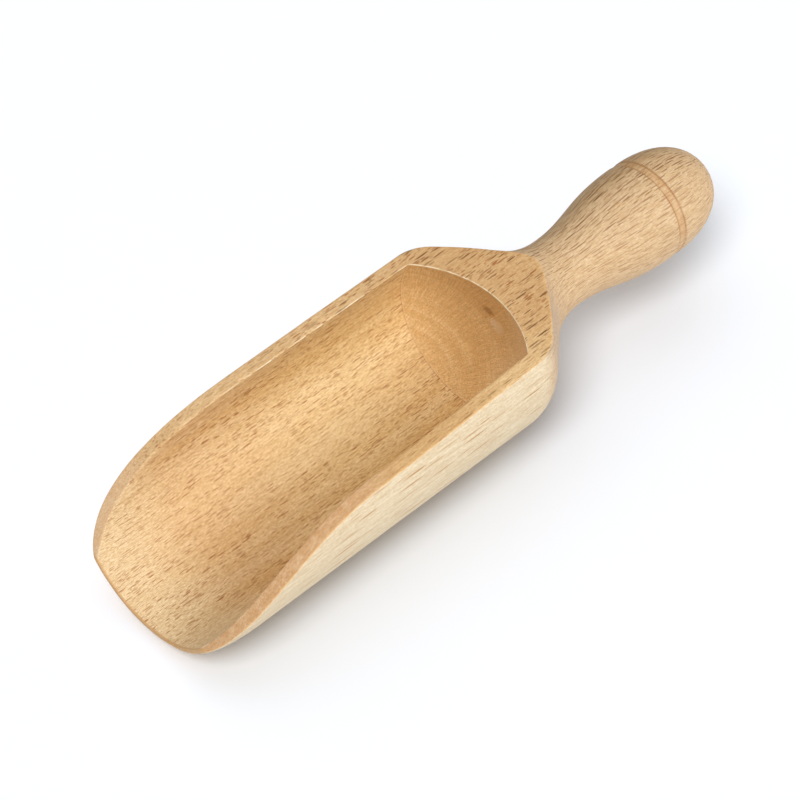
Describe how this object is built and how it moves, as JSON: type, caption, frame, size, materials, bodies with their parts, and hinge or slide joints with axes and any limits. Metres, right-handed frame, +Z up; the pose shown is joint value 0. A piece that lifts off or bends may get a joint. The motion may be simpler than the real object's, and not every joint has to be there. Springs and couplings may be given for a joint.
{
  "type": "wooden scoop",
  "caption": "One-piece turned beech hand scoop for grain, flour or other dry goods, with a half-round bored bowl, a falling lip and a swelling knob handle.",
  "frame": {"origin": "centre of the overall box at its lowest level, the line on which the round back of the bowl rests", "axes": "+X along the turning axis from the lip to the handle end, +Y to the scoop's left seen from the handle, +Z up out of the open bowl"},
  "size_m": [0.215, 0.06, 0.0455],
  "materials": {
    "beech": "sanded, unvarnished"
  },
  "bodies": {
    "root": {"scoop": "beech"}
  },
  "joints": []
}
